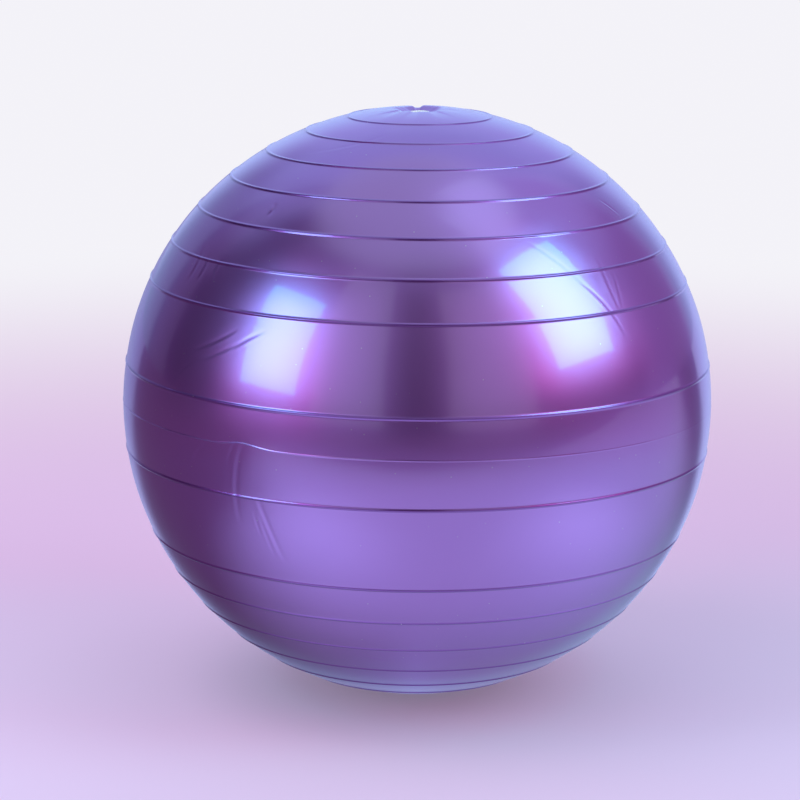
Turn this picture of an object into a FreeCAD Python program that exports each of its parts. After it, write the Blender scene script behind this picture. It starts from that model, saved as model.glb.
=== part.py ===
"""Inflated exercise ball, 65 cm, with a push-in air plug.

Three pieces, in millimetres, +Z up. The origin is the middle of the flat patch on which
the ball rests, and every piece is turned about the Z axis.
"""

import FreeCAD, Part

import math
import os

from FreeCAD import Vector

# Skin: rotationally moulded soft PVC, blown up to size.
ball_radius = 325.0
skin_thickness = 0.7
patch_radius = 38.0  # the skin lies flat on the floor this far out under the ball's own weight

# Grip ribs: round beads at whole steps of latitude, the same above and below the equator.
rib_step = 8.45  # degrees of latitude
rib_places = (1, 3, 4, 5, 6, 7, 8, 9)  # the broad band beside the equator leaves step 2 out
rib_width = 3.2
rib_height = 1.2

# Navel: the skin dips and thickens round the valve.
navel_lip_radius = 26.0
navel_depth = 6.0
thick_skin_radius = 34.0
collar_wall = 3.0
collar_length = 10.0

# Valve seat: a thick soft socket that grips the plug.
seat_radius = 12.0
seat_length = 22.0
seat_end_round = 2.5
bore_radius = 4.75
bore_lead_in = 0.6

# Air plug: a round head on a ringed stem.
plug_clearance = 0.06
plug_head_radius = 10.5
plug_head_edge = 1.4
plug_head_crown = 0.9
plug_neck_radius = 4.1
plug_ring_count = 3
plug_ring_pitch = 5.5
plug_first_ring = 3.0  # from the head's underside to the first ring's upper edge
plug_ring_length = 2.6
plug_tip_radius = 2.6
plug_stem_length = 21.0

centre_height = math.sqrt(ball_radius**2 - patch_radius**2)
pole_height = centre_height + ball_radius
navel_floor = pole_height - navel_depth


def at(radius, height):
    """A point of a profile: its distance from the axis and its height."""
    return Vector(radius, 0, height)


def on_sphere(radius, latitude):
    """The point of a sphere about the ball's centre at this latitude, in degrees."""
    turn = math.radians(latitude)
    return at(radius * math.cos(turn), centre_height + radius * math.sin(turn))


def latitude_at(sphere_radius, radius):
    """The latitude, in degrees, where a sphere is this far from the axis."""
    return math.degrees(math.acos(radius / sphere_radius))


def sphere_arc(radius, start, end):
    middle = on_sphere(radius, (start + end) / 2)
    return Part.Arc(on_sphere(radius, start), middle, on_sphere(radius, end)).toShape()


def line(start, end):
    return Part.LineSegment(start, end).toShape()


def round_arc(start, middle, end):
    return Part.Arc(start, middle, end).toShape()


def bend(*poles):
    """A smooth curve that leaves its first point and meets its last along its end poles."""
    curve = Part.BezierCurve()
    curve.setPoles(list(poles))
    return curve.toShape()


def turned(edges):
    """The solid that a closed profile sweeps in a full turn about the Z axis."""
    profile = Part.Face(Part.Wire(edges))
    return profile.revolve(Vector(0, 0, 0), Vector(0, 0, 1), 360)


def rib_latitudes():
    """Each rib's latitude, from the lowest to the highest."""
    upper = [place * rib_step for place in rib_places]
    return [-latitude for latitude in reversed(upper)] + upper


def ribbed_outside(start, end):
    """The outside of the skin from one latitude up to another, with a bead at each rib."""
    half_rib = math.degrees(rib_width / 2 / ball_radius)
    edges = []
    for rib in rib_latitudes():
        below, above = rib - half_rib, rib + half_rib
        edges.append(sphere_arc(ball_radius, start, below))
        crest = on_sphere(ball_radius + rib_height, rib)
        edges.append(round_arc(on_sphere(ball_radius, below), crest, on_sphere(ball_radius, above)))
        start = above
    edges.append(sphere_arc(ball_radius, start, end))
    return edges


def ball_shell():
    """The hollow skin, flat where it stands, with the navel's collar round the seat."""
    inner_radius = ball_radius - skin_thickness
    inner_patch = math.sqrt(inner_radius**2 - (centre_height - skin_thickness) ** 2)
    lip_latitude = latitude_at(ball_radius, navel_lip_radius)
    thick_latitude = latitude_at(inner_radius, thick_skin_radius)
    lip = on_sphere(ball_radius, lip_latitude)
    thick_start = on_sphere(inner_radius, thick_latitude)
    collar_radius = seat_radius + collar_wall
    collar_end = navel_floor - collar_length

    outside = ribbed_outside(-latitude_at(ball_radius, patch_radius), lip_latitude)
    navel = bend(
        lip,
        lip + Vector(-navel_depth, 0, navel_depth * lip.x / ball_radius),
        at(seat_radius + navel_depth, navel_floor),
        at(seat_radius, navel_floor),
    )
    collar = [
        line(at(seat_radius, navel_floor), at(seat_radius, collar_end)),
        line(at(seat_radius, collar_end), at(collar_radius, collar_end)),
        bend(
            at(collar_radius, collar_end),
            at(collar_radius, collar_end + collar_length),
            thick_start + Vector(-collar_length, 0, collar_length * thick_start.x / ball_radius),
            thick_start,
        ),
    ]
    inside = [
        sphere_arc(inner_radius, thick_latitude, -latitude_at(inner_radius, inner_patch)),
        line(at(inner_patch, skin_thickness), at(0, skin_thickness)),
    ]
    patch = [
        line(at(0, skin_thickness), at(0, 0)),
        line(at(0, 0), at(patch_radius, 0)),
    ]
    return turned(outside + [navel] + collar + inside + patch)


def valve_seat():
    """The socket: a thick sleeve with a bored middle, rounded at its inner end."""
    top, bottom = navel_floor, navel_floor - seat_length
    shoulder = seat_radius - seat_end_round
    round_middle = seat_end_round * math.sqrt(0.5)
    return turned(
        [
            line(at(bore_radius + bore_lead_in, top), at(seat_radius, top)),
            line(at(seat_radius, top), at(seat_radius, bottom + seat_end_round)),
            round_arc(
                at(seat_radius, bottom + seat_end_round),
                at(shoulder + round_middle, bottom + seat_end_round - round_middle),
                at(shoulder, bottom),
            ),
            line(at(shoulder, bottom), at(bore_radius, bottom)),
            line(at(bore_radius, bottom), at(bore_radius, top - bore_lead_in)),
            line(at(bore_radius, top - bore_lead_in), at(bore_radius + bore_lead_in, top)),
        ]
    )


def plug_rings():
    """The stem's side from the head down: a neck, then rings that taper towards the tip."""
    ring_radius = bore_radius - plug_clearance
    corners = [at(plug_neck_radius, navel_floor)]
    for number in range(plug_ring_count):
        top = navel_floor - plug_first_ring - number * plug_ring_pitch
        corners.append(at(plug_neck_radius, top))
        corners.append(at(ring_radius, top))
        corners.append(at(ring_radius, top - plug_ring_length / 2))
        corners.append(at(plug_neck_radius, top - plug_ring_length))
    return corners


def valve_plug():
    """The air plug: a crowned head that rests on the seat, and a ringed stem in its bore."""
    edge_top = navel_floor + plug_head_edge
    tip = navel_floor - plug_stem_length
    side = plug_rings()
    stem = side + [at(plug_tip_radius, tip), at(0, tip)]
    crown_start = at(0, edge_top + plug_head_crown)
    crown_end = at(plug_head_radius, edge_top)
    crown_radius = (plug_head_radius**2 + plug_head_crown**2) / (2 * plug_head_crown)
    half_way = plug_head_radius / 2
    drop = crown_radius - math.sqrt(crown_radius**2 - half_way**2)
    edges = [
        round_arc(crown_start, at(half_way, crown_start.z - drop), crown_end),
        line(crown_end, at(plug_head_radius, navel_floor)),
        line(at(plug_head_radius, navel_floor), side[0]),
    ]
    edges += [line(start, end) for start, end in zip(stem, stem[1:])]
    edges.append(line(stem[-1], crown_start))
    return turned(edges)


os.makedirs("parts", exist_ok=True)
for piece in (ball_shell, valve_seat, valve_plug):
    shape = piece()
    shape.exportStep(f"parts/{piece.__name__}.step")
    box = shape.BoundBox
    print(
        piece.__name__,
        shape.ShapeType,
        "valid" if shape.isValid() else "NOT VALID",
        f"volume {shape.Volume / 1000:.1f} cm3",
        f"z {box.ZMin:.2f} to {box.ZMax:.2f}",
        f"across {box.XLength:.2f}",
    )
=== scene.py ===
import math

import bpy
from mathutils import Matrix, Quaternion, Vector, noise


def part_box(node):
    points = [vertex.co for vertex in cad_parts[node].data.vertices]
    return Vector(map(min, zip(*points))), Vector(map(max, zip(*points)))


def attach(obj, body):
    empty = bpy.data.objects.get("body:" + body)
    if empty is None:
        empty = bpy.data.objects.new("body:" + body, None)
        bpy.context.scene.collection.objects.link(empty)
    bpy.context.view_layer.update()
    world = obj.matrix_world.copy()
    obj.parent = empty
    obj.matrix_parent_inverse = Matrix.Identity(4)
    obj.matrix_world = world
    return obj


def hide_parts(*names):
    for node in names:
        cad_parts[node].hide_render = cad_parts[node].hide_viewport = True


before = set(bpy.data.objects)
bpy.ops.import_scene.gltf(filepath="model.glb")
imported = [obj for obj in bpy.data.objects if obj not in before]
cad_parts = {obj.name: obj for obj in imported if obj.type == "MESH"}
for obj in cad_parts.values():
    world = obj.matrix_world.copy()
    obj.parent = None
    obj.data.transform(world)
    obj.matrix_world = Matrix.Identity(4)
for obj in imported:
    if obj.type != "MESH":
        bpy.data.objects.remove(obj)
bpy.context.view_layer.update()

scene = bpy.context.scene
scene.view_settings.view_transform = "Standard"

# ---------------------------------------------------------------------------------------
# The skin
# One hollow ball of soft pearly PVC. It is turned in a hot two-part mould, so it has no
# seam, only a hair of flash at its equator, and the mould's grooves leave the grip ribs.
# Air blows it up, and its own weight flattens it where it stands.
# ---------------------------------------------------------------------------------------
skin_low, skin_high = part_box("ball_shell")
seat_low, seat_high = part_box("valve_seat")
plug_low, plug_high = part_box("valve_plug")

BALL_RADIUS = (skin_high.x - skin_low.x) / 2
PATCH_RADIUS = 0.038
WALL = 0.0007
CENTRE = Vector((0, 0, math.sqrt(BALL_RADIUS**2 - PATCH_RADIUS**2)))
MILLIMETRE = 0.001

RIB_STEP = math.radians(8.45)
RIB_PLACES = (1, 3, 4, 5, 6, 7, 8, 9)
RIB_HALF_WIDTH = 0.0022
RIB_HEIGHT = 0.0010
BAND_BULGE = 0.00012
ribs = sorted(side * place * RIB_STEP for place in RIB_PLACES for side in (-1, 1))

FLASH_HALF_WIDTH = 0.0008
FLASH_HEIGHT = 0.00050

SEAT_RADIUS = (seat_high.x - seat_low.x) / 2
NAVEL_RADIUS = 0.030
PUCKER_REACH = 0.13
COLLAR_LENGTH = 0.010
COLLAR_WALL = 0.003

THICK_SKIN_RADIUS = 0.034

SKIN_SEGMENTS = 216
BAND_ROW = 0.009
INSIDE_ROWS = 30
FINE_ROWS = 3  # this many of the inside's top rows are cut in four, to follow the folds there
NAVEL_ROWS = 13
PATCH_ROWS = (0.35, 0.7, 0.92, 1, 1.06, 1.14)  # rows under the ball, as shares of the flat patch
RIB_ROWS = (0.45, 1.05, 1.65, 2.2, 3.2)  # rows on both sides of a rib's middle, in millimetres
FLASH_ROWS = (0.4, 0.8, 1.5)
PUCKER_ROWS = range(34, 74, 4)  # rows round the valve, in millimetres from the axis


def outside_rows():
    """The latitude of each row of the skin's outside, close together where the shape is fine."""
    half_patch = math.pi / 2 - PATCH_RADIUS / BALL_RADIUS
    lip = math.pi / 2 - NAVEL_RADIUS / BALL_RADIUS
    seat_edge = math.pi / 2 - math.asin(SEAT_RADIUS / BALL_RADIUS)
    rib_rows = [side * across for across in RIB_ROWS for side in (-1, 1)]
    flash_rows = [side * across for across in FLASH_ROWS for side in (-1, 1)] + [0]
    rows = [-math.pi / 2 + part * (math.pi / 2 - half_patch) for part in PATCH_ROWS]
    for middle, offsets in [(rib, rib_rows) for rib in ribs] + [(0, flash_rows)]:
        rows += [middle + across * MILLIMETRE / BALL_RADIUS for across in offsets]
    rows += [lip + part * (seat_edge - lip) / NAVEL_ROWS for part in range(NAVEL_ROWS + 1)]
    rows += [math.acos(flat * MILLIMETRE / BALL_RADIUS) for flat in PUCKER_ROWS]
    rows.sort()
    filled = [rows[0]]
    for row in rows[1:]:
        gap = row - filled[-1]
        steps = max(1, round(gap * BALL_RADIUS / BAND_ROW))
        filled += [filled[-1] + gap * step / steps for step in range(1, steps)]
        filled.append(row)
    return filled


def inside_points():
    """The radius and height of each row past the navel: down the collar and round the inside."""
    top = seat_high.z
    outer = SEAT_RADIUS + COLLAR_WALL
    inner_radius = BALL_RADIUS - WALL
    points = [(SEAT_RADIUS, top - COLLAR_LENGTH / 2), (SEAT_RADIUS, top - COLLAR_LENGTH)]
    points += [(outer, top - COLLAR_LENGTH), (outer, top - 0.6 * COLLAR_LENGTH)]
    points += [(outer + 0.0018, top - 0.0030), (outer + 0.0065, top + 0.0006)]
    start = math.acos(THICK_SKIN_RADIUS / inner_radius)
    end = -math.asin((CENTRE.z - WALL) / inner_radius)
    shares = [row / (4 * INSIDE_ROWS) for row in range(4 * FINE_ROWS)]
    shares += [row / INSIDE_ROWS for row in range(FINE_ROWS, INSIDE_ROWS + 1)]
    for share in shares:
        latitude = start + (end - start) * share
        height = CENTRE.z + inner_radius * math.sin(latitude)
        points.append((inner_radius * math.cos(latitude), height))
    return points


rows = outside_rows()
inside = inside_points()
bpy.ops.object.select_all(action="DESELECT")
bpy.ops.mesh.primitive_uv_sphere_add(
    segments=SKIN_SEGMENTS, ring_count=len(rows) + len(inside) + 1, radius=1, location=(0, 0, 0)
)
skin = bpy.context.object
skin.name = skin.data.name = "skin"
for vertex in skin.data.vertices:
    flat = math.hypot(vertex.co.x, vertex.co.y)
    fall = math.pi - math.atan2(flat, vertex.co.z)
    row = round(fall / math.pi * (len(rows) + len(inside) + 1))
    turn = math.atan2(vertex.co.y, vertex.co.x)
    if row == 0:
        vertex.co = CENTRE - Vector((0, 0, BALL_RADIUS))
        continue
    if row > len(rows) + len(inside):
        vertex.co = Vector((0, 0, WALL))
        continue
    if row <= len(rows):
        radius = BALL_RADIUS * math.cos(rows[row - 1])
        height = CENTRE.z + BALL_RADIUS * math.sin(rows[row - 1])
    else:
        radius, height = inside[row - len(rows) - 1]
    vertex.co = Vector((radius * math.cos(turn), radius * math.sin(turn), height))

# Folds that the skin keeps from its box: each is a bent line of (turn to the right of the
# front, latitude) in degrees, with its depth and half width in millimetres. A raised lip
# runs beside each valley, to the right of the way that its points go.
FOLDS = [
    (((-50, 16.5), (-43, 19), (-38.5, 22)), 0.30, 1.7),
    (((-46, 15.5), (-41, 17.5), (-37.5, 19.5)), 0.24, 1.6),
    (((-38.5, 18.5), (-36, 20.5), (-31.5, 22.5)), 0.30, 1.5),
    (((-54, 9.5), (-51.5, 13.5), (-47, 15.5)), 0.22, 1.6),
    (((26, 41.5), (32.5, 38), (38, 31)), 0.07, 2.1),
    (((37, 32), (43, 27), (45, 20.5)), 0.15, 1.9),
    (((45, 36), (44, 31), (45.5, 25)), 0.14, 1.9),
    (((47.5, 33), (47, 29), (46, 25)), 0.14, 1.5),
    (((61, 48), (63, 46.5), (65, 43.5)), 0.30, 1.6),
    (((-33, 0.5), (-36.5, -5), (-35.3, -14)), 0.17, 2.7),
    (((-35.5, -0.2), (-36.3, -1.2), (-37.2, -3)), 0.24, 1.1),
    (((-30.8, -8), (-29.3, -12.5), (-26.5, -21)), 0.34, 2.4),
    (((-30.8, -11), (-29.8, -15), (-28.6, -20)), 0.20, 1.8),
    (((-32, -11), (-31.6, -13.5), (-31, -16)), 0.22, 1.1),
    (((-41.5, 0), (-46, -2.5), (-47.5, -6.5)), 0.20, 1.7),
    (((-60, 36), (-57.5, 33), (-59, 29)), 0.30, 2.4),
    (((-56, 35), (-54, 32.5), (-55.5, 29.5)), 0.28, 2.2),
    (((-50, 34.5), (-51.5, 32), (-49, 30)), 0.22, 2.0),
    (((-44, 48), (-42.2, 46.8), (-43.5, 45)), 0.45, 2.0),
    (((-14, -44), (-11, -45.5), (-7, -46)), 0.15, 2.0),
    (((-52, 62), (-30, 66), (-20, 71)), 0.15, 2.6),
]
FOLD_SAMPLES = 20
FOLD_REACH = 4.2  # half widths from its line that a fold still shapes the skin
FOLD_CUTS = 4
LIP_SHARE = 0.55  # a lip's height as a share of its valley's depth
LIP_PLACE = 1.9  # how far a lip is from its valley's line, in half widths


def bent_line(start, middle, end):
    """Points along a curve that passes near the middle point, in degrees."""
    line = []
    for sample in range(FOLD_SAMPLES + 1):
        along = sample / FOLD_SAMPLES
        weights = ((1 - along) ** 2, 2 * along * (1 - along), along**2)
        turns, latitudes = zip(start, middle, end)
        line.append(tuple(sum(w * p for w, p in zip(weights, places)) for places in (turns, latitudes)))
    return line


folds = [(bent_line(*points), depth * MILLIMETRE, width * MILLIMETRE) for points, depth, width in FOLDS]


def across_fold(line, turn, latitude):
    """How far a point is from a fold's line, how far it is to the right of it, both in metres,
    and what share of the line is behind it."""
    narrow = math.cos(math.radians(latitude))
    metres = math.radians(1) * BALL_RADIUS
    best = (1e9, 0, 0)
    for index, (start, end) in enumerate(zip(line, line[1:])):
        run = ((end[0] - start[0]) * narrow * metres, (end[1] - start[1]) * metres)
        to = ((turn - start[0]) * narrow * metres, (latitude - start[1]) * metres)
        length = math.hypot(*run)
        part = min(1, max(0, (to[0] * run[0] + to[1] * run[1]) / length**2))
        away = math.hypot(to[0] - part * run[0], to[1] - part * run[1])
        if away < best[0]:
            side = to[0] * run[1] - to[1] * run[0]
            best = (away, math.copysign(away, side), (index + part) / FOLD_SAMPLES)
    return best


def near_fold(line, width, turn, latitude):
    """Whether a point is in the box round a fold, in degrees, with its reach added."""
    reach = math.degrees(FOLD_REACH * width / BALL_RADIUS)
    wide = reach / max(0.05, math.cos(math.radians(latitude)))
    turns, latitudes = zip(*line)
    return (
        min(turns) - wide < turn < max(turns) + wide
        and min(latitudes) - reach < latitude < max(latitudes) + reach
    )


def fold_depth(turn, latitude):
    """How far the folds push the skin in here, in metres."""
    depth = 0
    for line, deep, width in folds:
        if near_fold(line, width, turn, latitude):
            away, across, along = across_fold(line, turn, latitude)
            if away < FOLD_REACH * width:
                taper = math.sin(math.pi * min(1, max(0, along))) ** 0.6
                valley = math.exp(-((across / width) ** 2))
                lip = LIP_SHARE * math.exp(-((across / width - LIP_PLACE) ** 2))
                depth += deep * taper * (valley - lip)
    return depth


def turn_and_latitude(point):
    """A point's turn to the right of the ball's front and its latitude, in degrees."""
    out = point - CENTRE
    latitude = math.asin(max(-1, min(1, out.z / out.length)))
    return math.degrees(math.atan2(out.x, -out.y)), math.degrees(latitude)


# The faces round each fold are cut finer, so that the folds are real shape.
bpy.ops.object.mode_set(mode="EDIT")
bpy.ops.mesh.select_mode(type="FACE")
bpy.ops.mesh.select_all(action="DESELECT")
bpy.ops.object.mode_set(mode="OBJECT")
for face in skin.data.polygons:
    if (face.center - CENTRE).length > BALL_RADIUS - WALL / 2:
        turn, latitude = turn_and_latitude(face.center)
        for line, deep, width in folds:
            if near_fold(line, width, turn, latitude):
                if across_fold(line, turn, latitude)[0] < FOLD_REACH * width + BAND_ROW / 4:
                    face.select = True
                    break
bpy.ops.object.mode_set(mode="EDIT")
bpy.ops.mesh.subdivide(number_cuts=FOLD_CUTS, quadcorner="INNERVERT")
bpy.ops.object.mode_set(mode="OBJECT")


def rib_rise(latitude):
    """The height of the ribs' beads at this latitude, in radians."""
    across = min(abs(latitude - rib) for rib in ribs) * BALL_RADIUS
    if across > RIB_HALF_WIDTH:
        return 0
    return RIB_HEIGHT * (1 + math.cos(math.pi * across / RIB_HALF_WIDTH)) / 2


def band_sink(latitude):
    """Between two ribs the band puffs out a little, so it is lowest beside them."""
    below = max((rib for rib in ribs if rib <= latitude), default=-math.pi / 2)
    above = min((rib for rib in ribs if rib > latitude), default=math.pi / 2)
    if below == -math.pi / 2 or above == math.pi / 2:
        return 0
    share = (latitude - below) / (above - below)
    return BAND_BULGE * (above - below) / RIB_STEP * (1 - math.sin(math.pi * share))


THICK_FLASH_TURN = -35  # degrees from the front to a thicker lump of flash
THIN_FLASH_TURN = -20  # the flash is lower to the right of here


def flash_rise(turn, latitude):
    """The hair of flash along the parting line, higher in some places than in others."""
    across = latitude * BALL_RADIUS
    if abs(across) > FLASH_HALF_WIDTH:
        return 0
    ragged = noise.noise(Vector((math.cos(turn) * 9, math.sin(turn) * 9, 4.0)))
    nick = noise.noise(Vector((math.cos(turn) * 42, math.sin(turn) * 42, 9.0)))
    height = FLASH_HEIGHT * max(0.5, 0.75 + 0.9 * ragged + 0.5 * nick)
    height *= 0.75 - 0.4 * math.tanh((math.degrees(turn) - THIN_FLASH_TURN) / 9)
    height += FLASH_HEIGHT * math.exp(-(((math.degrees(turn) - THICK_FLASH_TURN) / 4) ** 2))
    return height * (1 + math.cos(math.pi * across / FLASH_HALF_WIDTH)) / 2


PARTING_HUMP_TURN = -34  # degrees from the front to a short hump in the parting line


def parting_line(turn):
    """The mould's joint isn't quite level: its latitude at this turn from the front, in radians."""
    slow = 0.55 + 0.45 * math.cos(turn + 0.6)
    hump = 0.75 * math.exp(-(((math.degrees(turn) - PARTING_HUMP_TURN) / 4) ** 2))
    return math.radians(slow + hump)


def lumps(out):
    """The skin is never quite round: slow lumps and a faint ripple, in metres."""
    slow = noise.noise(out * 1.6 + Vector((3.1, 0, 0)))
    middle = noise.noise(out * 5.5 + Vector((0, 7.7, 0)))
    ripple = noise.noise(out * 16 + Vector((0, 0, 5.2)))
    return 0.0009 * slow + 0.00014 * middle + 0.000022 * ripple


# Each pucker: its turn from the front and half width in degrees, its depth, and how far out
# from the axis it is deepest and how far it spreads from there, in millimetres. The last is
# the one deep fold, behind the valve.
PUCKERS = (
    (-150, 16, 0.7, 24, 22),
    (-95, 12, 0.5, 24, 22),
    (-48, 9, 0.9, 28, 24),
    (-12, 8, 0.6, 30, 22),
    (30, 10, 0.8, 26, 24),
    (75, 12, 0.5, 24, 22),
    (120, 14, 0.6, 24, 22),
    (-175, 9, 4.2, 52, 31),
)


def pucker_depth(turn, flat):
    """The skin gathers round the valve in a few soft radial folds."""
    if flat > PUCKER_REACH:
        return 0
    depth = 0
    for middle, wide, deep, deepest, spread in PUCKERS:
        away = (turn - middle + 180) % 360 - 180
        along = (flat / MILLIMETRE - deepest) / spread
        depth += deep * MILLIMETRE * math.exp(-((away / wide) ** 4) - along**2)
    return depth


navel_dip = CENTRE.z + math.sqrt(BALL_RADIUS**2 - SEAT_RADIUS**2) - seat_high.z
PARTING_REACH = math.radians(7)
TOP_SHARE = 0.9  # above this share of the radius the inside follows the puckers, not the lumps
for vertex in skin.data.vertices:
    out = vertex.co - CENTRE
    turn = math.atan2(out.x, -out.y)
    if out.length < BALL_RADIUS - WALL / 2:
        flat = math.hypot(out.x, out.y)
        if out.z < TOP_SHARE * BALL_RADIUS:
            vertex.co += out.normalized() * lumps(out.normalized())
            vertex.co.z = max(vertex.co.z, WALL)
        elif flat > NAVEL_RADIUS:
            vertex.co.z -= pucker_depth(math.degrees(turn), flat)
        continue
    out.normalize()
    latitude = math.asin(max(-1, min(1, out.z)))
    flat = BALL_RADIUS * math.cos(latitude)
    seat_share = min(1, max(0, (flat - SEAT_RADIUS) / (NAVEL_RADIUS - SEAT_RADIUS)))
    rise = rib_rise(latitude) - band_sink(latitude) + flash_rise(turn, latitude)
    rise -= fold_depth(math.degrees(turn), math.degrees(latitude))
    rise += lumps(out) * seat_share
    drift = parting_line(turn) * max(0, 1 - (latitude / PARTING_REACH) ** 2) ** 2
    latitude += drift
    radius = BALL_RADIUS + rise
    point = CENTRE + radius * Vector(
        (math.sin(turn) * math.cos(latitude), -math.cos(turn) * math.cos(latitude), math.sin(latitude))
    )
    if latitude > 0:
        into = 1 - seat_share
        point.z -= navel_dip * into * into * (3 - 2 * into)
        point.z -= pucker_depth(math.degrees(turn), flat) * min(1, 3 * seat_share)
    point.z = max(point.z, 0)
    vertex.co = point
bpy.ops.object.select_all(action="DESELECT")
skin.select_set(True)
bpy.context.view_layer.objects.active = skin
bpy.ops.object.shade_smooth()


def new_material(name, viewport_colour):
    """A material with a Principled shader, and its node tree and shader."""
    material = bpy.data.materials.new(name)
    material.use_nodes = True
    material.diffuse_color = (*viewport_colour, 1)
    return material, material.node_tree, material.node_tree.nodes["Principled BSDF"]


def add_node(tree, kind, **settings):
    """A node of a tree with these settings; a name that is one of its inputs sets that input."""
    node = tree.nodes.new(kind)
    for name, value in settings.items():
        label = name.replace("_", " ")
        socket = next((s for s in node.inputs if s.name.lower() == label.lower()), None)
        if socket is not None:
            socket.default_value = value
        else:
            setattr(node, name, value)
    return node


def ramp(tree, value, edges, ends=(0.0, 1.0)):
    """A smooth rise from the first end to the second as a value goes from edge to edge."""
    node = add_node(tree, "ShaderNodeMapRange", interpolation_type="SMOOTHSTEP")
    for name, number in zip(("From Min", "From Max", "To Min", "To Max"), (*edges, *ends)):
        node.inputs[name].default_value = number
    tree.links.new(value, node.inputs["Value"])
    return node.outputs["Result"]


def math_node(tree, operation, *values):
    """The result of a math node: each value is a number or another node's output."""
    node = add_node(tree, "ShaderNodeMath", operation=operation)
    for socket, value in zip(node.inputs, values):
        if isinstance(value, (int, float)):
            socket.default_value = value
        else:
            tree.links.new(value, socket)
    return node.outputs["Value"]


def moulded_finish():
    """A node group for moulded plastic: slow drift of the pigment, fine grain, dust and scuffs."""
    group = bpy.data.node_groups.new("moulded_finish", "ShaderNodeTree")
    group.interface.new_socket(name="Position", in_out="INPUT", socket_type="NodeSocketVector")
    for name in ("Drift size", "Grain size"):
        group.interface.new_socket(name=name, in_out="INPUT", socket_type="NodeSocketFloat")
    for name in ("Drift", "Grain", "Dust", "Scuff"):
        group.interface.new_socket(name=name, in_out="OUTPUT", socket_type="NodeSocketFloat")
    inlet = group.nodes.new("NodeGroupInput")
    outlet = group.nodes.new("NodeGroupOutput")

    drift = add_node(group, "ShaderNodeTexNoise", detail=3, roughness=0.5, distortion=0.6)
    group.links.new(inlet.outputs["Position"], drift.inputs["Vector"])
    group.links.new(inlet.outputs["Drift size"], drift.inputs["Scale"])
    group.links.new(drift.outputs["Fac"], outlet.inputs["Drift"])

    grain = add_node(group, "ShaderNodeTexNoise", detail=2, roughness=0.6)
    group.links.new(inlet.outputs["Position"], grain.inputs["Vector"])
    group.links.new(inlet.outputs["Grain size"], grain.inputs["Scale"])
    group.links.new(grain.outputs["Fac"], outlet.inputs["Grain"])

    specks = add_node(group, "ShaderNodeTexVoronoi", feature="F1", scale=70, randomness=1)
    group.links.new(inlet.outputs["Position"], specks.inputs["Vector"])
    dust = ramp(group, specks.outputs["Distance"], (0.030, 0.045), (1.0, 0.0))
    group.links.new(dust, outlet.inputs["Dust"])

    smear = add_node(group, "ShaderNodeTexNoise", scale=9, detail=6, roughness=0.65, distortion=1.2)
    group.links.new(inlet.outputs["Position"], smear.inputs["Vector"])
    group.links.new(ramp(group, smear.outputs["Fac"], (0.52, 0.72)), outlet.inputs["Scuff"])
    return group


finish = moulded_finish()


def use_finish(tree, drift_size, grain_size):
    """The finish group in a material, with its two pattern sizes."""
    place = tree.nodes.new("ShaderNodeTexCoord")
    node = tree.nodes.new("ShaderNodeGroup")
    node.node_tree = finish
    tree.links.new(place.outputs["Object"], node.inputs["Position"])
    node.inputs["Drift size"].default_value = drift_size
    node.inputs["Grain size"].default_value = grain_size
    return node


def blend_colours(tree, factor, first, second, blend_type="MIX"):
    """Two colours mixed by a mask, or the second added to the first."""
    mix = add_node(tree, "ShaderNodeMix", data_type="RGBA", blend_type=blend_type)
    tree.links.new(factor, mix.inputs["Factor"])
    for socket, colour in ((mix.inputs["A"], first), (mix.inputs["B"], second)):
        if isinstance(colour, tuple):
            socket.default_value = (*colour, 1)
        else:
            tree.links.new(colour, socket)
    return mix.outputs["Result"]


def between(tree, factor, low, high):
    """A value that follows a mask from low to high."""
    spread = tree.nodes.new("ShaderNodeMapRange")
    spread.inputs["To Min"].default_value = low
    spread.inputs["To Max"].default_value = high
    tree.links.new(factor, spread.inputs["Value"])
    return spread.outputs["Result"]


def grain_bump(tree, shader, effects, strength, distance):
    """Fine grain that the finish group's pattern raises."""
    bump = add_node(tree, "ShaderNodeBump", strength=strength, distance=distance)
    tree.links.new(effects.outputs["Grain"], bump.inputs["Height"])
    tree.links.new(bump.outputs["Normal"], shader.inputs["Normal"])


# Painted shade: each rib is painted a darker purple, which fades out across the bead.
RIB_SHADE_EDGES = (0.35 * RIB_HALF_WIDTH, 1.2 * RIB_HALF_WIDTH)  # where a rib's colour fades


def rib_shade_mask(tree):
    """A mask of the ribs' painted shade, found by latitude: every step from the middle but those left out.
    """
    place = tree.nodes.new("ShaderNodeTexCoord")
    from_centre = add_node(tree, "ShaderNodeVectorMath", operation="SUBTRACT")
    tree.links.new(place.outputs["Object"], from_centre.inputs[0])
    from_centre.inputs[1].default_value = CENTRE
    out = add_node(tree, "ShaderNodeVectorMath", operation="NORMALIZE")
    tree.links.new(from_centre.outputs["Vector"], out.inputs[0])
    parts = tree.nodes.new("ShaderNodeSeparateXYZ")
    tree.links.new(out.outputs["Vector"], parts.inputs["Vector"])
    latitude = math_node(tree, "ARCSINE", parts.outputs["Z"])
    steps = math_node(tree, "DIVIDE", math_node(tree, "ABSOLUTE", latitude), RIB_STEP)
    whole = math_node(tree, "ROUND", steps)
    off = math_node(tree, "ABSOLUTE", math_node(tree, "SUBTRACT", steps, whole))
    across = math_node(tree, "MULTIPLY", off, RIB_STEP * BALL_RADIUS)
    mask = ramp(tree, across, RIB_SHADE_EDGES, (1.0, 0.0))
    for missing in sorted(set(range(max(RIB_PLACES))) - set(RIB_PLACES)):
        away = math_node(tree, "ABSOLUTE", math_node(tree, "SUBTRACT", whole, missing))
        mask = math_node(tree, "MULTIPLY", mask, math_node(tree, "GREATER_THAN", away, 0.5))
    return math_node(tree, "MULTIPLY", mask, math_node(tree, "LESS_THAN", whole, max(RIB_PLACES) + 0.5))


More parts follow.
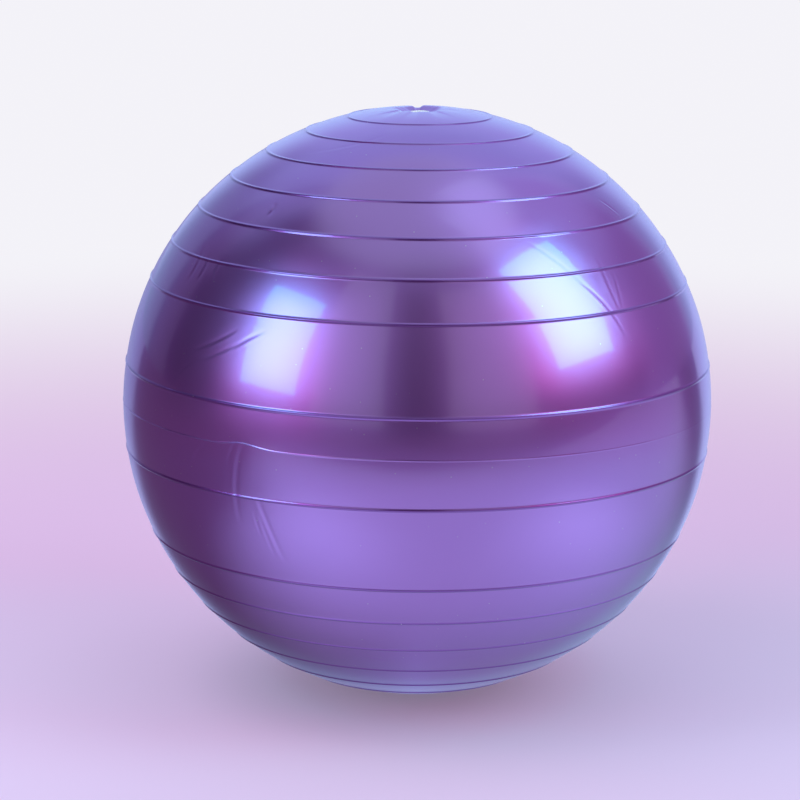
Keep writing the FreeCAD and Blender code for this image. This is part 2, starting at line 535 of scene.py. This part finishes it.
PEARL = ((0.38, 0.170, 0.57), (0.43, 0.20, 0.62))
# The colour of the painted shade on the ribs.
RIB_PAINTED_SHADE = (0.24, 0.08, 0.39)
SLANT_BLUE = (0.52, 0.59, 0.95)
SLANT_EDGES = (0.64, 0.95)
DUST_COLOUR = (0.55, 0.5, 0.62)


def pearl_skin():
    """Purple PVC under a glossy face. Its pearl pigment turns pale blue at a slant, and each rib
    is painted a darker purple as painted shade."""
    material, tree, shader = new_material("pearl_skin", (0.31, 0.11, 0.47))
    effects = use_finish(tree, 5, 900)
    pearl = blend_colours(tree, effects.outputs["Drift"], *PEARL)
    # Painted shade: the ribs are painted darker.
    rib_shaded = blend_colours(tree, rib_shade_mask(tree), pearl, RIB_PAINTED_SHADE)
    slant = add_node(tree, "ShaderNodeLayerWeight", blend=0.5)
    flop = ramp(tree, slant.outputs["Facing"], SLANT_EDGES)
    turned = blend_colours(tree, flop, rib_shaded, SLANT_BLUE)
    dusted = blend_colours(tree, effects.outputs["Dust"], turned, DUST_COLOUR)
    tree.links.new(dusted, shader.inputs["Base Color"])
    tree.links.new(between(tree, effects.outputs["Grain"], 0.28, 0.33), shader.inputs["Roughness"])
    tree.links.new(between(tree, effects.outputs["Scuff"], 1.0, 0.88), shader.inputs["Coat Weight"])
    grain_bump(tree, shader, effects, 0.5, 0.00003)
    shader.inputs["Metallic"].default_value = 0.97
    shader.inputs["Coat Roughness"].default_value = 0.07
    shader.inputs["Coat IOR"].default_value = 1.5
    shader.inputs["Specular Tint"].default_value = (0.75, 0.80, 1.0, 1)
    shader.inputs["Sheen Weight"].default_value = 0.6
    shader.inputs["Sheen Roughness"].default_value = 0.22
    shader.inputs["Sheen Tint"].default_value = (0.50, 0.58, 1.0, 1)
    return material


skin.data.materials.append(pearl_skin())
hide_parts("ball_shell")
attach(skin, "ball")

# ---------------------------------------------------------------------------------------
# The valve seat
# A thick sleeve of softer PVC, set in the mould so that the skin fuses round it. Its
# bored middle stretches over the plug's rings and holds them.
# ---------------------------------------------------------------------------------------
BORE_RADIUS = 0.00475
BORE_LEAD_IN = 0.0006
SEAT_ROUND = 0.0025
SEAT_ROUND_STEPS = 4
TURNED_SEGMENTS = 64


def turned_piece(name, outline, closed):
    """A piece turned about the Z axis: a circle that is pulled along its outline and joined up."""
    bpy.ops.object.select_all(action="DESELECT")
    radius, height = outline[0]
    bpy.ops.mesh.primitive_circle_add(
        vertices=TURNED_SEGMENTS,
        radius=radius,
        location=(0, 0, height),
        fill_type="NOTHING" if closed else "NGON",
    )
    bpy.ops.object.transform_apply(location=True, rotation=True, scale=True)
    piece = bpy.context.object
    piece.name = piece.data.name = name
    bpy.ops.object.mode_set(mode="EDIT")
    bpy.ops.mesh.select_all(action="SELECT")
    for next_radius, next_height in outline[1:]:
        bpy.ops.mesh.extrude_edges_move(TRANSFORM_OT_translate={"value": (0, 0, next_height - height)})
        share = next_radius / radius
        bpy.ops.transform.resize(value=(share, share, 1), center_override=(0, 0, next_height))
        radius, height = next_radius, next_height
    if not closed:
        bpy.ops.mesh.edge_face_add()
    bpy.ops.mesh.select_all(action="SELECT")
    bpy.ops.mesh.remove_doubles(threshold=0.000001)
    bpy.ops.mesh.normals_make_consistent(inside=False)
    bpy.ops.object.mode_set(mode="OBJECT")
    return piece


def finish_edges(piece, width, segments):
    """Rounds a piece's sharp edges and smooths the rest."""
    bevel = piece.modifiers.new("edges", "BEVEL")
    bevel.width = width
    bevel.segments = segments
    bevel.limit_method = "ANGLE"
    bevel.angle_limit = math.radians(40)
    bpy.context.view_layer.objects.active = piece
    bpy.ops.object.select_all(action="DESELECT")
    piece.select_set(True)
    bpy.ops.object.modifier_apply(modifier=bevel.name)
    bpy.ops.object.shade_smooth_by_angle(angle=math.radians(50))


def seat_outline():
    """The seat's section, as (radius, height), from its bore's mouth out and round."""
    top, bottom = seat_high.z, seat_low.z
    outline = [(BORE_RADIUS + BORE_LEAD_IN, top), (SEAT_RADIUS, top)]
    for step in range(SEAT_ROUND_STEPS + 1):
        turn = math.radians(90) * step / SEAT_ROUND_STEPS
        outline.append(
            (
                SEAT_RADIUS - SEAT_ROUND * (1 - math.cos(turn)),
                bottom + SEAT_ROUND * (1 - math.sin(turn)),
            )
        )
    outline += [(BORE_RADIUS, bottom), (BORE_RADIUS, top - BORE_LEAD_IN)]
    outline.append(outline[0])
    return outline


seat = turned_piece("seat", seat_outline(), closed=True)
finish_edges(seat, 0.0002, 2)


def soft_seat():
    """The seat's PVC: the same purple with little pearl, and duller."""
    material, tree, shader = new_material("soft_seat", (0.22, 0.08, 0.34))
    effects = use_finish(tree, 60, 2500)
    colour = blend_colours(tree, effects.outputs["Drift"], (0.17, 0.055, 0.28), (0.23, 0.08, 0.36))
    tree.links.new(colour, shader.inputs["Base Color"])
    tree.links.new(between(tree, effects.outputs["Grain"], 0.38, 0.5), shader.inputs["Roughness"])
    grain_bump(tree, shader, effects, 0.6, 0.00004)
    shader.inputs["Metallic"].default_value = 0.2
    return material


seat.data.materials.append(soft_seat())
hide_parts("valve_seat")
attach(seat, "ball")

# ---------------------------------------------------------------------------------------
# The air plug
# A white polyethylene plug, pushed in by hand. Its crowned head has a thin edge to lift
# it by, and three rings down its stem grip the seat.
# ---------------------------------------------------------------------------------------
HEAD_RADIUS = (plug_high.x - plug_low.x) / 2
HEAD_EDGE = 0.0014
NECK_RADIUS = 0.0041
RING_RADIUS = 0.00469
TIP_RADIUS = 0.0026
FIRST_RING = 0.003
RING_COUNT = 3
RING_PITCH = 0.0055
RING_LENGTH = 0.0026
GATE_RADIUS = 0.0009  # the dimple in the head's middle, where the mould's gate was
GATE_DEPTH = 0.00025
# The head's top from its middle out: the share of its radius, the share of the crown's drop,
# and how deep the ring-shaped groove is there.
HEAD_TOP = (
    (0.35, 0.1225, 0),
    (0.6, 0.36, 0),
    (0.72, 0.5184, 0),
    (0.76, 0.62, 0.00022),
    (0.82, 0.7, 0.0002),
    (0.86, 0.76, 0),
    (0.97, 1, 0),
)


def plug_outline():
    """The plug's section, as (radius, height), from the middle of its head to its tip."""
    under = seat_high.z
    crown = plug_high.z - under - HEAD_EDGE
    outline = [(GATE_RADIUS * 2 / 3, plug_high.z - GATE_DEPTH), (GATE_RADIUS, plug_high.z - GATE_DEPTH)]
    outline.append((GATE_RADIUS * 4 / 3, plug_high.z - 0.00002))
    for share, drop, groove in HEAD_TOP:
        outline.append((HEAD_RADIUS * share, plug_high.z - crown * drop - groove))
    outline += [(HEAD_RADIUS, under + HEAD_EDGE * 0.8), (HEAD_RADIUS, under + 0.0002)]
    outline += [(HEAD_RADIUS - 0.0002, under), (NECK_RADIUS, under)]
    for ring in range(RING_COUNT):
        top = under - FIRST_RING - ring * RING_PITCH
        outline += [(NECK_RADIUS, top), (RING_RADIUS, top - 0.0001)]
        outline += [(RING_RADIUS, top - RING_LENGTH / 2), (NECK_RADIUS, top - RING_LENGTH)]
    outline += [(TIP_RADIUS + 0.0004, plug_low.z + 0.0008), (TIP_RADIUS, plug_low.z + 0.0002)]
    outline.append((TIP_RADIUS - 0.0003, plug_low.z))
    return outline


plug = turned_piece("plug", plug_outline(), closed=False)
finish_edges(plug, 0.0001, 2)


def white_plastic():
    """Waxy white polyethylene, satin, a little translucent."""
    material, tree, shader = new_material("white_plastic", (0.8, 0.8, 0.78))
    effects = use_finish(tree, 90, 3000)
    clean = blend_colours(tree, effects.outputs["Drift"], (0.72, 0.72, 0.70), (0.80, 0.80, 0.78))
    worn = blend_colours(tree, effects.outputs["Scuff"], clean, (0.66, 0.65, 0.66))
    tree.links.new(worn, shader.inputs["Base Color"])
    tree.links.new(between(tree, effects.outputs["Grain"], 0.30, 0.42), shader.inputs["Roughness"])
    grain_bump(tree, shader, effects, 0.5, 0.00003)
    shader.inputs["Subsurface Weight"].default_value = 0.15
    shader.inputs["Subsurface Radius"].default_value = (1.0, 0.9, 0.8)
    shader.inputs["Subsurface Scale"].default_value = 0.001
    return material


plug.data.materials.append(white_plastic())
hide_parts("valve_plug")
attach(plug, "plug")

# ---------------------------------------------------------------------------------------
# The studio
# A pale floor, which the ball mirrors with painted light, shade and glow, soft boxes in front to the left
# and right and one high on the left, pale walls with a darker gap between them, a pale ceiling, and the
# camera.
# ---------------------------------------------------------------------------------------
FLOOR_RADIUS = 14
FLOOR_FADE = (0.7, 3.0)  # how far from the ball the floor starts and ends its fade
BACKDROP = (0.90, 0.89, 0.94)
FLOOR_COLOUR = (0.64, 0.41, 0.56)
FLOOR_GLOW = (0.20, 0.17, 0.25)

# What the ball mirrors, painted on the floor for all but camera rays: a paler strip on a darker floor in
# front, painted pools of light under the boxes, and a painted glow that makes the floor behind brighter.
SHEET_SIDE = (0.5, -0.866, 0)  # the way that the pale sheet under the ball runs
SHEET_EDGE = (-0.15, 0.35)
SHEET_FRONT = (-1.75, -1.35)
DARK_FLOOR = (0.12, 0.05, 0.09)
DARK_GLOW = (0.07, 0.035, 0.06)
PALE_FLOOR = (0.44, 0.42, 0.46)
PALE_GLOW = (0.28, 0.30, 0.39)
# Painted light: pools of glow on the floor, for all but camera rays.
LIGHT_POOLS = ((0.55, -0.38, 0), (-0.37, -0.48, 0))  # on the floor under the right and left boxes
POOL_RADIUS = 0.45
POOL_GLOW = (0.28, 0.40, 0.50)
# Painted light: the floor behind glows for all but camera rays, brighter on the right.
BACK_SLANT = 1.1  # how fast the brighter floor's edge runs back on either side
BACK_EDGE = (-0.32, 0.05)
BACK_SIDES = (-1.0, 0.3)  # the floor behind is darker on the left and brighter on the right
LEFT_GLOW = (0.29, 0.30, 0.54)
RIGHT_GLOW = (0.54, 0.58, 0.96)
bpy.ops.object.select_all(action="DESELECT")
bpy.ops.mesh.primitive_circle_add(vertices=96, radius=FLOOR_RADIUS, fill_type="NGON", location=(0, 0, 0))
floor = bpy.context.object
floor.name = "floor"


def mirrored_glow(tree, place, parts, pale):
    """The painted light that the floor gives to the ball: a glowing strip with painted pools of light, and
    a painted brighter back.
    """
    glow = blend_colours(tree, pale, DARK_GLOW, PALE_GLOW)
    for middle in LIGHT_POOLS:
        away = add_node(tree, "ShaderNodeVectorMath", operation="DISTANCE")
        tree.links.new(place, away.inputs[0])
        away.inputs[1].default_value = middle
        pool = ramp(tree, away.outputs["Value"], (POOL_RADIUS, 0))
        glow = blend_colours(tree, pool, glow, POOL_GLOW, "ADD")
    aside = math_node(tree, "ABSOLUTE", parts.outputs["X"])
    behind = math_node(tree, "MULTIPLY_ADD", aside, -BACK_SLANT, parts.outputs["Y"])
    rightward = ramp(tree, parts.outputs["X"], BACK_SIDES)
    back_glow = blend_colours(tree, rightward, LEFT_GLOW, RIGHT_GLOW)
    return blend_colours(tree, ramp(tree, behind, BACK_EDGE), glow, back_glow)


def floor_paint():
    """Pale matt paint. The camera sees it fade into the backdrop a few steps behind the ball; other rays
    see painted light and shade, and a painted glow.
    """
    material, tree, shader = new_material("floor_paint", (0.7, 0.6, 0.8))
    rays = tree.nodes.new("ShaderNodeLightPath")
    camera_ray = rays.outputs["Is Camera Ray"]
    place = tree.nodes.new("ShaderNodeTexCoord").outputs["Object"]
    parts = tree.nodes.new("ShaderNodeSeparateXYZ")
    tree.links.new(place, parts.inputs["Vector"])
    reach = add_node(tree, "ShaderNodeVectorMath", operation="DOT_PRODUCT")
    reach.inputs[1].default_value = SHEET_SIDE
    tree.links.new(place, reach.inputs[0])
    sheet = ramp(tree, reach.outputs["Value"], SHEET_EDGE)
    pale = math_node(tree, "MULTIPLY", sheet, ramp(tree, parts.outputs["Y"], SHEET_FRONT))
    # Painted light and shade: rays other than the camera's see the floor painted darker in front and paler
    # in a strip.
    mirrored = blend_colours(tree, pale, DARK_FLOOR, PALE_FLOOR)
    paint = blend_colours(tree, camera_ray, mirrored, FLOOR_COLOUR)
    tree.links.new(paint, shader.inputs["Base Color"])
    # Painted light: the floor glows, and for all but camera rays with painted pools and a brighter back.
    glow = blend_colours(tree, camera_ray, mirrored_glow(tree, place, parts, pale), FLOOR_GLOW)
    tree.links.new(glow, shader.inputs["Emission Color"])
    direct = math_node(tree, "LESS_THAN", rays.outputs["Diffuse Depth"], 0.5)
    tree.links.new(direct, shader.inputs["Emission Strength"])
    shader.inputs["Roughness"].default_value = 0.8
    shader.inputs["Specular IOR Level"].default_value = 0.2
    spread = add_node(tree, "ShaderNodeVectorMath", operation="LENGTH")
    tree.links.new(place, spread.inputs[0])
    seen = math_node(tree, "MULTIPLY", ramp(tree, spread.outputs["Value"], FLOOR_FADE), camera_ray)
    far = tree.nodes.new("ShaderNodeEmission")
    far.inputs["Color"].default_value = (*BACKDROP, 1)
    mix = tree.nodes.new("ShaderNodeMixShader")
    tree.links.new(seen, mix.inputs["Fac"])
    tree.links.new(shader.outputs["BSDF"], mix.inputs[1])
    tree.links.new(far.outputs["Emission"], mix.inputs[2])
    tree.links.new(mix.outputs["Shader"], tree.nodes["Material Output"].inputs["Surface"])
    return material


floor.data.materials.append(floor_paint())


def soft_box(name, turn, height, distance, width, tall, colour, mirrored=True):
    """A soft box that faces the ball from a turn to the right of the front and a height, in degrees."""
    turn, height = math.radians(turn), math.radians(height)
    away = Vector((math.sin(turn) * math.cos(height), -math.cos(turn) * math.cos(height), math.sin(height)))
    bpy.ops.object.light_add(type="AREA", location=CENTRE + away * distance)
    lamp = bpy.context.object
    lamp.name = name
    lamp.data.shape = "RECTANGLE"
    lamp.data.size = width
    lamp.data.size_y = tall
    lamp.data.energy = math.pi * width * tall
    lamp.data.color = colour
    lamp.visible_camera = False
    lamp.visible_glossy = mirrored
    lamp.rotation_mode = "QUATERNION"
    lamp.rotation_quaternion = (-away).to_track_quat("-Z", "Y")


soft_box("left_box", -56, 25, 1.8, 0.74, 1.02, (0.15, 4.3, 3.8))
soft_box("right_box", 66, 36, 1.65, 0.78, 1.12, (0.30, 4.9, 4.0))
soft_box("high_box", -75, 54, 2.4, 1.6, 1.6, (2.3, 2.1, 2.3), mirrored=False)

world = bpy.data.worlds.new("studio")
scene.world = world
world.use_nodes = True
room = world.node_tree
sky = room.nodes["Background"]
direction = room.nodes.new("ShaderNodeTexCoord")
split = room.nodes.new("ShaderNodeSeparateXYZ")
room.links.new(direction.outputs["Generated"], split.inputs["Vector"])

backward = math_node(room, "MULTIPLY", split.outputs["Y"], -1)
look_turn = math_node(room, "ARCTAN2", split.outputs["X"], backward)
look_height = math_node(room, "ARCSINE", split.outputs["Z"])


def band(angle, low, high, soft):
    """A mask that is 1 between two angles in degrees, with soft ends."""
    middle, half, soft = (math.radians(a) for a in ((low + high) / 2, (high - low) / 2, soft))
    off = math_node(room, "WRAP", math_node(room, "SUBTRACT", angle, middle), math.pi, -math.pi)
    return ramp(room, math_node(room, "ABSOLUTE", off), (half + soft, half - soft))


# Each pale wall or panel: between which turns and heights it is seen from the ball, how soft
# its edges are, all in degrees, and its light.
WALLS = (
    ((-42, -13), (2, 56), 2, (0.54, 0.66, 0.70)),
    ((12, 46), (2, 54), 3, (0.53, 0.55, 0.60)),
    ((-82, -42), (2, 50), 9, (0.45, 0.06, 0.26)),
    ((48, 102), (6, 62), 10, (0.48, 0.08, 0.28)),
    ((-75, -42), (5, 38), 6, (1.55, 0.15, 0.78)),
    ((47, 90), (12, 54), 6, (1.35, 0.13, 0.62)),
    ((-190, 190), (60, 120), 5, (0.50, 0.70, 0.70)),
    ((55, 145), (63, 82), 6, (0.42, 0.62, 0.75)),
    ((110, 250), (34, 62), 8, (0.20, 0.32, 0.40)),
    ((-180, -134), (-5, 60), 4, (0.26, 0.33, 0.48)),
    ((-132, -117), (-3, 58), 2, (0.14, 0.12, 0.20)),
    ((140, 180), (-5, 60), 4, (0.26, 0.33, 0.48)),
    ((100, 142), (-3, 58), 6, (0.30, 0.18, 0.36)),
    ((150, 200), (-20, 35), 9, (0.30, 0.32, 0.55)),
)
light = (0.05, 0.015, 0.04)
for turns, heights, soft, colour in WALLS:
    mask = math_node(room, "MULTIPLY", band(look_turn, *turns, soft), band(look_height, *heights, soft))
    light = blend_colours(room, mask, light, colour, "ADD")
rays = room.nodes.new("ShaderNodeLightPath")
seen = blend_colours(room, rays.outputs["Is Camera Ray"], light, BACKDROP)
room.links.new(seen, sky.inputs["Color"])
sky.inputs["Strength"].default_value = 1

CAMERA_DISTANCE = 11 * BALL_RADIUS
CAMERA_HEIGHT = math.radians(12)
CAMERA_ROLL = math.radians(0.5)
CAMERA_LENS = 145.1
CAMERA_AIM = CENTRE + Vector((-0.0189, 0, -0.0007))
camera_data = bpy.data.cameras.new("camera")
camera = bpy.data.objects.new("camera", camera_data)
scene.collection.objects.link(camera)
scene.camera = camera
camera_data.sensor_width = 36
camera_data.lens = CAMERA_LENS
toward = Vector((0, -math.cos(CAMERA_HEIGHT), math.sin(CAMERA_HEIGHT)))
camera.location = CAMERA_AIM + toward * CAMERA_DISTANCE
camera.rotation_mode = "QUATERNION"
camera.rotation_quaternion = (-toward).to_track_quat("-Z", "Y") @ Quaternion((0, 0, 1), CAMERA_ROLL)
